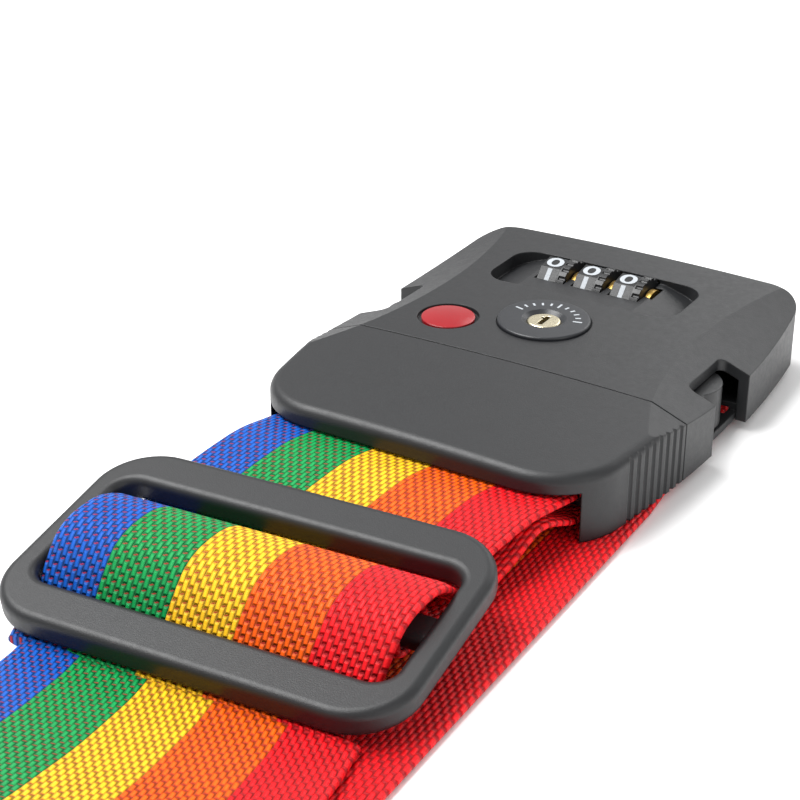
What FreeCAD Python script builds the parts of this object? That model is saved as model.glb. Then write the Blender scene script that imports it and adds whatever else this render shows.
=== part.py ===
import FreeCAD, Part
import math
import os
import re

# Luggage strap with a combination-lock buckle, closed and laid flat.
# Millimetres. The origin is on the ground, on the buckle's centre line, under
# the seam between its two halves. +Y runs from the seam over the lock half,
# +X is to the right and +Z is up.

SIZES = {
    # webbing
    "webbing_width": 50.0,
    "webbing_thick": 1.5,
    "hank_length": 145.0,
    "hank_layers": 10,
    "tie_width": 22.0,
    "tie_thick": 1.0,
    # outside of the buckle
    "shell_half_width": 32.4,
    "shell_side_radius": 230.0,
    "shell_mid": 18.0,
    "insert_length": 28.0,
    "lock_length": 52.0,
    "underside": 1.6,
    "shell_top": 13.9,
    "crown_radius": 700.0,
    "near_corner": 12.0,
    "far_corner": 7.0,
    "facet_start": 21.8,
    "facet_mid": 24.0,
    "facet_radius": 290.0,
    "facet_slope": 21.0,
    "nose_slope": 2.2,
    "wall": 1.8,
    "roof": 1.8,
    "seam_gap": 0.3,
    "fit_gap": 0.15,
    # webbing slot and bars
    "slot_half": 26.6,
    "slot_height": 8.0,
    "lip_overhang": 6.0,
    "lip_round": 1.6,
    "edge_round": 1.4,
    "bar_depth": 5.0,
    "bar_thick": 2.4,
    "insert_bar_set": 10.5,
    "insert_bar_rise": 4.0,
    "rear_bar_set": 5.1,
    "rear_bar_rise": 3.6,
    "rear_bar_depth": 3.0,
    "rear_bar_thick": 2.0,
    "floor_thick": 2.55,
    "tail_recess": 1.62,
    # grip ribs
    "rib_count": 8,
    "rib_pitch": 1.95,
    "rib_groove": 0.5,
    # latch arms and their notches
    "notch_start": 9.6,
    "notch_length": 13.2,
    "notch_depth": 5.2,
    "arm_inner": 22.6,
    "arm_thick": 2.2,
    "arm_root": 9.0,
    "arm_low": 4.5,
    "arm_high": 8.7,
    "thumb_low": 3.1,
    "thumb_high": 9.8,
    "sill": 2.95,
    "shoulder_mid": 16.3,
    "shoulder_radius": 5.3,
    "latch_pin_radius": 1.0,
    "draw_channel": 30.9,
    "tongue_length": 8.0,
    "tongue_half": 10.5,
    # dials
    "dial_x": -1.95,
    "dial_y": 37.6,
    "dial_z": 9.75,
    "dial_pitch": 6.95,
    "dial_radius": 5.4,
    "dial_rest_turn": 9.8,
    "dial_width": 5.2,
    "knurl_width": 1.5,
    "spindle_radius": 1.3,
    "sleeve_radius": 2.3,
    "gate_radius": 3.6,
    "gate_thick": 1.0,
    "running": 0.05,
    # scooped recess round the dials
    "scoop_x": -1.2,
    "scoop_y": 34.5,
    "scoop_half": 17.5,
    "scoop_width": 14.6,
    "scoop_corner": 4.0,
    "scoop_depth": 0.9,
    "scoop_slope": 17.0,
    # key lock
    "key_x": -0.8,
    "key_y": 16.0,
    "disc_radius": 7.6,
    "disc_rise": 0.55,
    "neck_radius": 4.2,
    "neck_low": 8.2,
    "plug_radius": 2.75,
    "plug_low": 6.7,
    "cam_radius": 4.2,
    "cam_pin_reach": 2.2,
    "cam_pin_radius": 0.7,
    "plate_low": 4.4,
    "plate_thick": 1.6,
    "plate_half": 19.2,
    "plate_start": 10.6,
    "plate_end": 29.0,
    "plate_travel": 2.1,
    "spring_radius": 1.1,
    "spring_wire": 0.3,
    # badge
    "badge_x": -15.2,
    "badge_y": 9.9,
    "badge_radius": 4.4,
    "badge_ring": 0.7,
    # fasteners
    "screw_radius": 0.9,
    "screw_head": 1.8,
    # slider
    "slider_width": 61.2,
    "slider_length": 37.4,
    "slider_corner": 9.0,
    "slider_thick": 4.0,
    "slider_arch": 6000.0,
    "slider_bar": 7.2,
    "slider_rail": 3.9,
    "slider_window_corner": 3.2,
    "slider_middle_bar": 5.0,
    "slider_middle_thick": 3.0,
    "slider_x": -1.2,
    "slider_y": -65.0,
    "slider_z": 7.72,
    "slider_turn": 4.7,
    "slider_tilt": 8.5,
}

BLOCK = 120.0      # size of a block that is larger than the buckle

doc = FreeCAD.newDocument("luggage_strap")
sheet = doc.addObject("Spreadsheet::Sheet", "sizes")
for row, (alias, value) in enumerate(SIZES.items(), start=1):
    sheet.set(f"A{row}", alias)
    sheet.set(f"B{row}", str(value))
    sheet.setAlias(f"B{row}", alias)
doc.recompute()
S = {alias: float(sheet.get(alias)) for alias in SIZES}

X_AXIS = FreeCAD.Vector(1, 0, 0)
Y_AXIS = FreeCAD.Vector(0, 1, 0)
Z_AXIS = FreeCAD.Vector(0, 0, 1)
ALONG_X = FreeCAD.Rotation(Z_AXIS, X_AXIS)
ALONG_Y = FreeCAD.Rotation(Z_AXIS, Y_AXIS)
nodes = []


# ---------------------------------------------------------------- helpers
def formula(text):
    """The text with each size's name pointing at its cell."""
    return re.sub(r"[a-z]\w*", lambda m: "sizes." + m.group() if m.group() in SIZES else m.group(), text)


def primitive(kind, name, at, turn=None, **sizes):
    """A Part primitive whose sizes and position are bound to the sheet."""
    item = doc.addObject(kind, name)
    for prop, text in sizes.items():
        item.setExpression(prop, formula(str(text)))
    if turn is not None:
        item.Placement.Rotation = turn
    for axis, text in zip("xyz", at):
        item.setExpression(f"Placement.Base.{axis}", formula(str(text)))
    return item


def box(name, x, y, z, turn=None):
    """A box between two expressions on each axis, each given as (low, high)."""
    return primitive(
        "Part::Box", name, (x[0], y[0], z[0]), turn,
        Length=f"({x[1]}) - ({x[0]})", Width=f"({y[1]}) - ({y[0]})", Height=f"({z[1]}) - ({z[0]})",
    )


def rod(name, at, radius, length, turn=None):
    return primitive("Part::Cylinder", name, at, turn, Radius=radius, Height=length)


def fuse(name, *items):
    item = doc.addObject("Part::MultiFuse", name)
    item.Shapes = list(items)
    return item


def common(name, *items):
    item = doc.addObject("Part::MultiCommon", name)
    item.Shapes = list(items)
    return item


def cut(name, base, *tools):
    item = doc.addObject("Part::Cut", name)
    item.Base = base
    item.Tool = tools[0] if len(tools) == 1 else fuse(name + "_tools", *tools)
    return item


def rounded(name, base, radius, chosen):
    """A fillet on the edges of base that chosen() accepts."""
    doc.recompute()
    item = doc.addObject("Part::Fillet", name)
    item.Base = base
    item.Edges = [(n, radius, radius) for n, edge in enumerate(base.Shape.Edges, start=1) if chosen(edge)]
    return item


def upright(edge):
    first, last = edge.Vertexes[0].Point, edge.Vertexes[-1].Point
    return abs(first.x - last.x) < 0.01 and abs(first.y - last.y) < 0.01 and abs(first.z - last.z) > 0.1


def node(item):
    """Keep an object as one sub-part, whose label names its file."""
    item.Label = item.Name
    nodes.append(item)
    return item


def solid_feature(name, shape):
    item = doc.addObject("Part::Feature", name)
    item.Shape = shape
    item.Placement = FreeCAD.Placement()
    return item


# ---------------------------------------------------------------- outside of the buckle
def facet(name, side, inset):
    """The cylinder that shaves the slanted lens-shaped facet off one side."""
    slope = math.radians(S["facet_slope"])
    down = FreeCAD.Vector(side * math.cos(slope), 0, -math.sin(slope))
    out = FreeCAD.Vector(side * math.sin(slope), 0, math.cos(slope))
    crest = FreeCAD.Vector(side * S["facet_start"], S["facet_mid"], S["shell_top"])
    item = doc.addObject("Part::Cylinder", name)
    item.setExpression("Radius", formula(f"facet_radius + {inset}"))
    item.Height = BLOCK / 2
    turned = FreeCAD.Rotation(Z_AXIS, down).multiply(FreeCAD.Rotation(Z_AXIS, 180))
    item.Placement = FreeCAD.Placement(crest + out * S["facet_radius"] - down * 12.0, turned)
    return item


def envelope(name, inset, low, high, bottom, drop, slope="0", corner=None, corner_y=0.0, top_round=0.0):
    """The buckle's barrel-sided, crowned and faceted outside, moved inward by inset, between low and
    high along Y. The crown falls away by slope, the upright corners at corner_y are rounded by corner
    and the edge round the top by top_round."""
    centre = "shell_side_radius - shell_half_width"
    sides = [
        rod(f"{name}_side_{n}", (f"{sign} * ({centre})", "shell_mid", bottom), f"shell_side_radius - ({inset})", 30)
        for n, sign in (("left", 1), ("right", -1))
    ]
    angle = S[slope] if slope in S else 0.0
    crown = rod(
        f"{name}_crown",
        ("0", f"-100 * cos({slope} * 1deg)", f"shell_top - crown_radius / cos({slope} * 1deg) - 100 * sin({slope} * 1deg)"),
        f"crown_radius - ({drop})", 200, FreeCAD.Rotation(X_AXIS, angle).multiply(ALONG_Y))
    ends = box(f"{name}_ends", (-60, 60), (low, high), (bottom, 30))
    body = common(f"{name}_block", common(f"{name}_plan", ends, *sides), crown)
    if corner:
        doc.recompute()
        body = rounded(
            f"{name}_corners", body, S[corner], lambda edge: upright(edge) and abs(edge.CenterOfMass.y - corner_y) < 0.5)
    if top_round:
        doc.recompute()
        seam = abs(corner_y) * 0.04
        body = rounded(
            f"{name}_top_round", body, top_round,
            lambda edge: not upright(edge) and edge.CenterOfMass.z > S["shell_top"] - 3.5
            and max(abs(v.Point.y) for v in edge.Vertexes) > seam)
    for side, mark in ((1, "r"), (-1, "l")):
        body = cut(f"{name}_faceted_{mark}", body, facet(f"{name}_facet_{mark}", side, inset))
    return body


def grip_grooves(name):
    """Upright grooves that leave a row of grip ribs on both sides of the insert."""
    grooves = []
    for side in (1, -1):
        for n in range(int(S["rib_count"])):
            along = -S["seam_gap"] - 1.2 - n * S["rib_pitch"]
            away = S["shell_half_width"] - (along - S["shell_mid"]) ** 2 / (2 * S["shell_side_radius"])
            grooves.append(rod(
                f"{name}_{'r' if side > 0 else 'l'}{n}", (side * (away + 0.1), along, 0), "rib_groove", 20))
    return fuse(name, *grooves)


insert_near = "-insert_length"
column_near = "lip_overhang - insert_length"
insert_bar_y = "insert_bar_set - insert_length"
insert_bar_z = "underside + insert_bar_rise"
lip_low = "underside + slot_height"

# ---------------------------------------------------------------- insert half
outer = envelope(
    "insert_out", "0", insert_near, "-seam_gap / 2", "underside", "0", "nose_slope", "near_corner", -S["insert_length"],
    S["lip_round"])
hollow = envelope("insert_in", "wall", f"{column_near} + 2", "5", "underside - 5", "roof", "nose_slope")
slot = box("insert_slot", ("-slot_half", "slot_half"), (-60, f"{column_near} + 3"), (-1, lip_low))
lipped = cut("insert_shell", outer, hollow, slot, grip_grooves("insert_grooves"))
screw_posts = [
    rod(f"insert_post_{n}", (x, "-5.5", "underside + wall + fit_gap"), "screw_radius + 1.3", "9")
    for n, x in enumerate(("-13", "13"))
]
post_trim = envelope("insert_trim", "0.5", insert_near, "-seam_gap / 2", "underside", "0.5", "nose_slope")
posts = common("insert_posts", fuse("insert_post_pair", *screw_posts), post_trim)
screw_bores = [
    rod(f"insert_bore_{n}", (x, "-5.5", "0"), "screw_radius + running", "underside + 8.5")
    for n, x in enumerate(("-13", "13"))
]
node(cut("insert_cover", fuse("insert_cover_whole", lipped, posts), *screw_bores))

inner_half = "arm_inner - 1.4"
plate_base = box(
    "base_plate", (f"-({inner_half})", inner_half), (f"{insert_bar_y} + 5.5", "-seam_gap"), ("underside", "underside + wall"))
cheek_out = "slot_half + 1.9"
back_rail = box(
    "base_rail", (f"-({cheek_out})", cheek_out), (f"{insert_bar_y} + 4.6", f"{insert_bar_y} + 6.0"),
    ("underside", "underside + 6"))
cheeks = [
    box(f"base_cheek_{n}", x, (f"{column_near} + 2.2", f"{insert_bar_y} + 7.5"), ("underside", "underside + 6"))
    for n, x in enumerate(((f"slot_half", cheek_out), (f"-({cheek_out})", "-slot_half")))
]
bar_block = box(
    "base_bar_block", ("-slot_half - 0.5", "slot_half + 0.5"),
    (f"{insert_bar_y} - bar_depth / 2", f"{insert_bar_y} + bar_depth / 2"),
    (f"{insert_bar_z} - bar_thick / 2", f"{insert_bar_z} + bar_thick / 2"))
bar = rounded(
    "base_bar", bar_block, S["bar_thick"] * 0.45,
    lambda edge: abs(edge.Vertexes[0].Point.x - edge.Vertexes[-1].Point.x) > 10)
tongue = box(
    "base_tongue", ("-tongue_half", "tongue_half"), ("-seam_gap - 4", "tongue_length"),
    ("underside + floor_thick + fit_gap", "underside + floor_thick + 2"))
tongue_step = box(
    "base_tongue_step", ("-tongue_half", "tongue_half"), ("-6", "-seam_gap"),
    ("underside + wall - 0.1", "underside + floor_thick + 2"))
pin_posts = [
    rod(f"base_pin_post_{n}", (x, "-arm_root", "underside"), "latch_pin_radius + 1.2", "arm_low - underside - fit_gap")
    for n, x in enumerate(("arm_inner + arm_thick / 2", "-arm_inner - arm_thick / 2"))
]
post_feet = [
    box(f"base_pin_foot_{n}", x, ("-arm_root - 2", "-arm_root + 2"), ("underside", "underside + wall"))
    for n, x in enumerate(((f"{inner_half} - 1", "arm_inner + 2"), ("-arm_inner - 2", f"1 - ({inner_half})")))
]
insert_area = envelope("insert_floor", "wall + fit_gap", f"{column_near} + 2.2", "-seam_gap", "underside", "roof + 0.4", "nose_slope")
frame = common("base_frame", fuse("base_frame_parts", back_rail, *cheeks), insert_area)
base_whole = fuse("base_whole", plate_base, frame, bar, tongue, tongue_step, *pin_posts, *post_feet)
base_bores = [
    rod(f"base_bore_{n}", (x, "-5.5", "0"), "screw_radius + 0.2", "20") for n, x in enumerate(("-13", "13"))]
base_heads = [
    rod(f"base_head_{n}", (x, "-5.5", "0"), "screw_head + 0.2", "underside + 1.1") for n, x in enumerate(("-13", "13"))]
pin_bores = [
    rod(f"base_pin_bore_{n}", (x, "-arm_root", "underside + 0.6"), "latch_pin_radius", "20")
    for n, x in enumerate(("arm_inner + arm_thick / 2", "-arm_inner - arm_thick / 2"))
]
node(cut("insert_base", base_whole, *base_bores, *base_heads, *pin_bores))

pins = [
    rod(f"latch_pin_{n}", (x, "-arm_root", "underside + 0.6"), "latch_pin_radius", "arm_high - underside + 0.6")
    for n, x in enumerate(("arm_inner + arm_thick / 2", "-arm_inner - arm_thick / 2"))
]
node(fuse("latch_pins", *pins))


def screws(name, places, head_low, reach):
    """Identical small pan screws that go up from below."""
    parts = []
    for n, (x, y) in enumerate(places):
        head = rod(f"{name}_head_{n}", (x, y, head_low), "screw_head", "0.9")
        shank = rod(f"{name}_shank_{n}", (x, y, f"{head_low} + 0.8"), "screw_radius", reach)
        slot_cut = box(
            f"{name}_slot_{n}", (f"{x} - 1.2", f"{x} + 1.2"), (f"{y} - 0.2", f"{y} + 0.2"),
            (f"{head_low} - 1", f"{head_low} + 0.4"))
        parts.append(cut(f"{name}_{n}", fuse(f"{name}_body_{n}", head, shank), slot_cut))
    return fuse(name, *parts)


node(screws("insert_screws", (("-13", "-5.5"), ("13", "-5.5")), "underside + 0.15", "7"))


# ---------------------------------------------------------------- latch arms
def latch(name, side):
    """A springy side arm: a root barrel on a pin, a flat arm and a round thumb shoulder."""
    mid = f"{side} * (arm_inner + arm_thick / 2)"
    low, high = ("arm_inner", "arm_inner + arm_thick") if side > 0 else ("-arm_inner - arm_thick", "-arm_inner")
    beam = box(f"{name}_beam", (low, high), ("-arm_root", "shoulder_mid"), ("arm_low", "arm_high"))
    barrel = rod(f"{name}_barrel", (mid, "-arm_root", "arm_low"), "latch_pin_radius + 1.2", "arm_high - arm_low")
    thumb = rod(
        f"{name}_thumb", (f"{side} * (arm_inner + arm_thick)", "shoulder_mid", "thumb_low"),
        "shoulder_radius", "thumb_high - thumb_low")
    catch_x = ("arm_inner + arm_thick - 0.1", "arm_inner + arm_thick + shoulder_radius - 1.2")
    if side < 0:
        catch_x = (f"-({catch_x[1]})", f"-({catch_x[0]})")
    catch = box(f"{name}_catch", catch_x, ("notch_start + 0.5", "shoulder_mid"), ("thumb_low", "thumb_high"))
    keep = (low, "arm_inner + 20") if side > 0 else ("-arm_inner - 20", high)
    half = box(f"{name}_half", keep, ("-20", "40"), ("0", "20"))
    whole = common(f"{name}_trim", fuse(f"{name}_whole", thumb, catch), half)
    eye = rod(f"{name}_eye", (mid, "-arm_root", "0"), "latch_pin_radius + running", "20")
    return cut(name, fuse(f"{name}_body", beam, barrel, whole), eye)


node(latch("latch_arm_right", 1))
node(latch("latch_arm_left", -1))

# ---------------------------------------------------------------- lock half
rear_bar_y = "lock_length - rear_bar_set"
rear_bar_z = "underside + rear_bar_rise"
lock_outer = envelope(
    "lock_out", "0", "seam_gap / 2", "lock_length", "underside", "0", "0", "far_corner", S["lock_length"], S["edge_round"])
lock_hollow = envelope("lock_in", "wall", "-5", "lock_length - wall", "underside - 5", "roof")
lock_shell = cut("lock_shell", lock_outer, lock_hollow)
deck = box(
    "lock_deck", ("scoop_x - scoop_half - 1.2", "scoop_x + scoop_half + 1.2"),
    ("scoop_y - scoop_width / 2 - 1", "scoop_y + scoop_width / 2 + 1"), ("dial_z + 0.2", "20"))
deck_trim = envelope("lock_trim", "0.4", "seam_gap / 2", "lock_length - 1", "underside", "0.4")
LOCK_SCREWS = (("-15", "3.2"), ("15", "3.2"), ("-23.5", "35.5"), ("23.5", "35.5"))
lock_posts = [
    rod(f"lock_post_{n}", (x, y, "underside + floor_thick + fit_gap + 2.0"), "screw_radius + 1.3", "12")
    for n, (x, y) in enumerate(LOCK_SCREWS)
]
lock_inside = common("lock_inside", fuse("lock_fittings", deck, *lock_posts), deck_trim)
disc_seat = rod("disc_seat", ("key_x", "key_y", "shell_top - 0.3"), "disc_radius + fit_gap", "5")
neck_hole = rod("neck_hole", ("key_x", "key_y", "0"), "neck_radius + 0.1", "30")


def scoop():
    """The long round-cornered recess: shallow beside the dials, sloping down to two deep ends."""
    outline = box(
        "scoop_block", ("scoop_x - scoop_half", "scoop_x + scoop_half"),
        ("scoop_y - scoop_width / 2", "scoop_y + scoop_width / 2"), ("0", "30"))
    outline = rounded("scoop_outline", outline, S["scoop_corner"], upright)
    level = box("scoop_level", (-60, 60), (0, 60), ("shell_top - scoop_depth", "40"))
    wedges = []
    for n, sign in enumerate((1, -1)):
        wedge = primitive("Part::Box", f"scoop_wedge_{n}", ("0", "0", "0"), Length=BLOCK, Width=BLOCK, Height=BLOCK)
        for axis in "xyz":
            wedge.setExpression(f"Placement.Base.{axis}", None)
        turn = FreeCAD.Rotation(Y_AXIS, sign * S["scoop_slope"])
        corner = FreeCAD.Vector(
            S["dial_x"] + sign * (1.5 * S["dial_pitch"] + 0.3), 0, S["shell_top"] - S["scoop_depth"])
        offset = turn.multVec(FreeCAD.Vector(0 if sign > 0 else -BLOCK, -BLOCK / 4, 0))
        wedge.Placement = FreeCAD.Placement(corner + offset, turn)
        wedges.append(wedge)
    return common("scoop", outline, fuse("scoop_floor", level, *wedges))


dial_places = [f"dial_x + ({n}) * dial_pitch" for n in (-1, 0, 1)]
windows = [
    rod(f"dial_window_{n}", (f"{x} - dial_width / 2 - 0.25", "dial_y", "dial_z"), "dial_radius + 0.3", "dial_width + 0.5", ALONG_X)
    for n, x in enumerate(dial_places)
]
gate_ways = [
    rod(f"gate_way_{n}", (f"{x} + dial_width / 2 + 0.1", "dial_y", "dial_z"), "gate_radius + 0.3", "gate_thick + 0.6", ALONG_X)
    for n, x in enumerate(dial_places)
]
bracket_top = "dial_z + spindle_radius + 0.9"
bracket_ways = [
    box(f"bracket_way_{n}", (f"dial_x + {x} - 0.95", f"dial_x + {x} + 0.95"), ("dial_y - 2.55", "dial_y + 2.55"),
        ("0", f"{bracket_top} + 0.15"))
    for n, x in enumerate(("(-12.2)", "12.2"))
]
finger_ways = [
    box(f"finger_way_{n}", (f"{x} + dial_width / 2 + 0.15", f"{x} + dial_width / 2 + gate_thick + 0.25"),
        ("plate_end - 3", "dial_y - 2"), ("0", "dial_z + 1.0"))
    for n, x in enumerate(dial_places)
]
shaft_way = rod("shaft_way", ("dial_x - 14", "dial_y", "dial_z"), "spindle_radius + 0.3", "28", ALONG_X)


def notch(name, side):
    x = ("shell_half_width - notch_depth", "60") if side > 0 else ("-60", "notch_depth - shell_half_width")
    block = box(name + "_block", x, ("notch_start", "notch_start + notch_length"), ("-1", "30"))
    deep = S["shell_half_width"] - S["notch_depth"]
    return rounded(name, block, 1.5, lambda edge: upright(edge) and abs(abs(edge.CenterOfMass.x) - deep) < 0.1)


def channel(name, side):
    x = ("arm_inner - 1", "draw_channel") if side > 0 else ("-draw_channel", "1 - arm_inner")
    return box(name, x, ("-5", "notch_start + 0.1"), ("sill", "thumb_high + 0.25"))


badge_recess = rod("badge_recess", ("badge_x", "badge_y", "shell_top - 0.9"), "badge_radius + badge_ring", "5")
cover_bores = [
    rod(f"lock_bore_{n}", (x, y, "0"), "screw_radius + running", "underside + 9.3") for n, (x, y) in enumerate(LOCK_SCREWS)]
node(cut(
    "lock_cover", fuse("lock_cover_whole", lock_shell, lock_inside), disc_seat, neck_hole, scoop(), *windows, *gate_ways,
    *bracket_ways, *finger_ways, shaft_way, notch("notch_right", 1), notch("notch_left", -1), channel("channel_right", 1),
    channel("channel_left", -1), badge_recess, *cover_bores))

# lock base: a floor inside the walls, brackets for the dial spindle and the rear webbing bar
base_area = envelope(
    "lock_floor", "wall + fit_gap", "seam_gap", "lock_length - wall - fit_gap", "underside", "roof + 0.4")
floor_slab = box("floor_slab", (-60, 60), (0, 60), ("underside", "underside + floor_thick"))
opening_start = f"{rear_bar_y} - 5.8"
rear_cheeks = [
    box(f"rear_cheek_{n}", x, (f"{opening_start} - 3", "60"), ("underside", f"{rear_bar_z} + 2.4"))
    for n, x in enumerate((("slot_half + 0.4", "60"), ("-60", "-slot_half - 0.4")))
]
brackets = [
    box(f"spindle_bracket_{n}", (f"dial_x + {x} - 0.8", f"dial_x + {x} + 0.8"), ("dial_y - 2.4", "dial_y + 2.4"),
        ("underside", bracket_top))
    for n, x in enumerate(("(-12.2)", "12.2"))
]
spring_posts = [
    box(f"spring_post_{n}", (f"{x} - 1.0", f"{x} + 1.0"), ("plate_start + 1.0", "plate_start + 2.0"), ("underside", "plate_low + 2.4"))
    for n, x in enumerate(("-11", "11"))
]
post_stands = [
    rod(f"lock_stand_{n}", (x, y, "underside"), "screw_radius + 1.3", "floor_thick + 2.0") for n, (x, y) in enumerate(LOCK_SCREWS)]
filled = common(
    "lock_base_inside",
    fuse("lock_base_parts", floor_slab, *rear_cheeks, *brackets, *spring_posts, *post_stands), base_area)
rear_bar_block = box(
    "rear_bar_block", ("-slot_half - 1", "slot_half + 1"),
    (f"{rear_bar_y} - rear_bar_depth / 2", f"{rear_bar_y} + rear_bar_depth / 2"),
    (f"{rear_bar_z} - rear_bar_thick / 2", f"{rear_bar_z} + rear_bar_thick / 2"))
rear_bar = rounded(
    "rear_bar", rear_bar_block, S["rear_bar_thick"] * 0.45,
    lambda edge: abs(edge.Vertexes[0].Point.x - edge.Vertexes[-1].Point.x) > 10)
webbing_way = box(
    "webbing_way", ("-slot_half - 0.4", "slot_half + 0.4"), (opening_start, "60"), ("-1", "underside + floor_thick + 0.1"))
tail_way = box(
    "tail_way", ("-slot_half - 0.4", "slot_half + 2.5"), ("21.5", "60"), ("-1", "underside + tail_recess"))
arm_ways = [
    box(f"arm_way_{n}", x, ("-5", "notch_start + notch_length + 0.6"), ("underside + 1.3", "30"))
    for n, x in enumerate((("arm_inner - 3.6", "60"), ("-60", "3.6 - arm_inner")))
]
lock_base_bores = [
    rod(f"lock_base_bore_{n}", (x, y, "0"), "screw_radius + 0.2", "20") for n, (x, y) in enumerate(LOCK_SCREWS)]
lock_base_heads = [
    rod(f"lock_base_head_{n}", (x, y, "0"), "screw_head + 0.2", f"underside + {'1.1' if n < 2 else 'tail_recess + 1.1'}")
    for n, (x, y) in enumerate(LOCK_SCREWS)]
spindle_bore = rod("spindle_bore", ("dial_x - 14", "dial_y", "dial_z"), "spindle_radius", "28", ALONG_X)
node(cut(
    "lock_base", fuse("lock_base_whole", cut("lock_base_open", filled, webbing_way, tail_way), rear_bar),
    *arm_ways, *lock_base_bores, *lock_base_heads, spindle_bore))
front_screws = screws("lock_screws_front", LOCK_SCREWS[:2], "underside + 0.15", "8")
rear_screws = screws("lock_screws_rear", LOCK_SCREWS[2:], "underside + tail_recess + 0.15", "6.5")
node(fuse("lock_screws", front_screws, rear_screws))

# ---------------------------------------------------------------- dials
node(rod("dial_spindle", ("dial_x - 13", "dial_y", "dial_z"), "spindle_radius", "26", ALONG_X))


def dial(name, x):
    """A ten-sided number drum with a knurled rim at its right."""
    drum = primitive(
        "Part::Prism", f"{name}_drum", (f"{x} - dial_width / 2", "dial_y", "dial_z"), ALONG_X,
        Circumradius="dial_radius - 0.05", Height="dial_width - knurl_width + 0.01")
    drum.Polygon = 10
    drum.Placement.Rotation = ALONG_X.multiply(FreeCAD.Rotation(Z_AXIS, 18 + S["dial_rest_turn"]))
    rim = rod(f"{name}_rim", (f"{x} + dial_width / 2 - knurl_width", "dial_y", "dial_z"), "dial_radius", "knurl_width", ALONG_X)
    notches = []
    for n in range(20):
        turn = math.radians(18 * n + 9)
        notches.append(rod(
            f"{name}_knurl_{n}",
            (f"{x} + dial_width / 2 - knurl_width + 0.3", f"dial_y + (dial_radius + 0.15) * {math.cos(turn):.6f}",
             f"dial_z + (dial_radius + 0.15) * {math.sin(turn):.6f}"), "0.42", "5", ALONG_X))
    bore = rod(f"{name}_bore", (f"{x} - 5", "dial_y", "dial_z"), "sleeve_radius + running", "10", ALONG_X)
    return cut(name, fuse(f"{name}_body", drum, rim), bore, *notches)


def sleeve(name, x):
    """The clutch sleeve inside a dial, with the gated flange beside it."""
    tube = rod(f"{name}_tube", (f"{x} - dial_width / 2", "dial_y", "dial_z"), "sleeve_radius", "dial_width + 0.2", ALONG_X)
    gate = rod(f"{name}_gate", (f"{x} + dial_width / 2 + 0.2", "dial_y", "dial_z"), "gate_radius", "gate_thick", ALONG_X)
    bore = rod(f"{name}_bore", (f"{x} - 5", "dial_y", "dial_z"), "spindle_radius + running", "12", ALONG_X)
    gap = box(
        f"{name}_gap", (f"{x} + dial_width / 2 + 0.1", f"{x} + dial_width / 2 + gate_thick + 0.4"),
        ("dial_y - gate_radius - 1", "dial_y - sleeve_radius"), ("dial_z - 0.9", "dial_z + 0.9"))
    return cut(name, fuse(f"{name}_body", tube, gate), bore, gap)


for number, place in enumerate(dial_places, start=1):
    node(dial(f"dial_{number}", place))
    node(sleeve(f"dial_sleeve_{number}", place))

floor_top = "underside + floor_thick"
spring_foot = box(
    "detent_foot", ("dial_x - 10.5", "dial_x + 10.5"), ("dial_y - 6.7", "dial_y - 5.9"), (floor_top, f"{floor_top} + 0.2"))
fingers = [
    box(f"detent_finger_{n}", (f"{x} - 2.2", f"{x} + 0.2"), ("dial_y - 6.15", "dial_y - 5.85"), (floor_top, "dial_z + 0.1"))
    for n, x in enumerate(dial_places)
]
node(fuse("detent_spring", spring_foot, *fingers))

# ---------------------------------------------------------------- key lock
flange = rod("disc_flange", ("key_x", "key_y", "shell_top - 0.3"), "disc_radius", "disc_rise + 0.3")
flange_round = rounded("disc_flange_round", flange, 0.35, lambda edge: edge.CenterOfMass.z > S["shell_top"])
neck = rod("disc_neck", ("key_x", "key_y", "neck_low"), "neck_radius", "shell_top - neck_low")
disc_bore = rod("disc_bore", ("key_x", "key_y", "0"), "plug_radius + running", "30")
disc_mouth = primitive(
    "Part::Cone", "disc_mouth", ("key_x", "key_y", "shell_top + disc_rise - 0.6"),
    Radius1="plug_radius + running", Radius2="plug_radius + 0.85", Height="0.61")
node(cut("key_disc", fuse("key_disc_whole", flange_round, neck), disc_bore, disc_mouth))

plug_rod = rod("plug_rod", ("key_x", "key_y", "plug_low"), "plug_radius", "shell_top + disc_rise - 0.35 - plug_low")
plug_round = rounded("plug_round", plug_rod, 0.3, lambda edge: edge.CenterOfMass.z > S["shell_top"])
keyway = box(
    "keyway", ("key_x - 0.45", "key_x + 0.45"), ("key_y - 1.7", "key_y + 1.7"), ("plug_low + 3", "30"))
ward = box("key_ward", ("key_x - 0.9", "key_x + 0.1"), ("key_y + 0.5", "key_y + 1.1"), ("plug_low + 3", "30"))
node(cut("key_plug", plug_round, keyway, ward))

cam_disc = rod("cam_disc", ("key_x", "key_y", "plug_low - 0.55"), "cam_radius", "1.4")
cam_hole = rod("cam_hole", ("key_x", "key_y", "plug_low"), "plug_radius + 0.01", "20")
cam_pin = rod("cam_pin", ("key_x + cam_pin_reach", "key_y", "plate_low + 0.3"), "cam_pin_radius", "plug_low - plate_low - 0.5")
node(fuse("key_cam", cut("cam_cup", cam_disc, cam_hole), cam_pin))

clip_ring = rod("clip_ring", ("key_x", "key_y", "neck_low - 0.55"), "plug_radius + 1.3", "0.5")
clip_hole = rod("clip_hole", ("key_x", "key_y", "0"), "plug_radius + 0.01", "20")
clip_gap = box("clip_gap", ("key_x - 1.2", "key_x + 1.2"), ("key_y", "key_y + 8"), ("0", "20"))
node(cut("key_clip", clip_ring, clip_hole, clip_gap))

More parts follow.
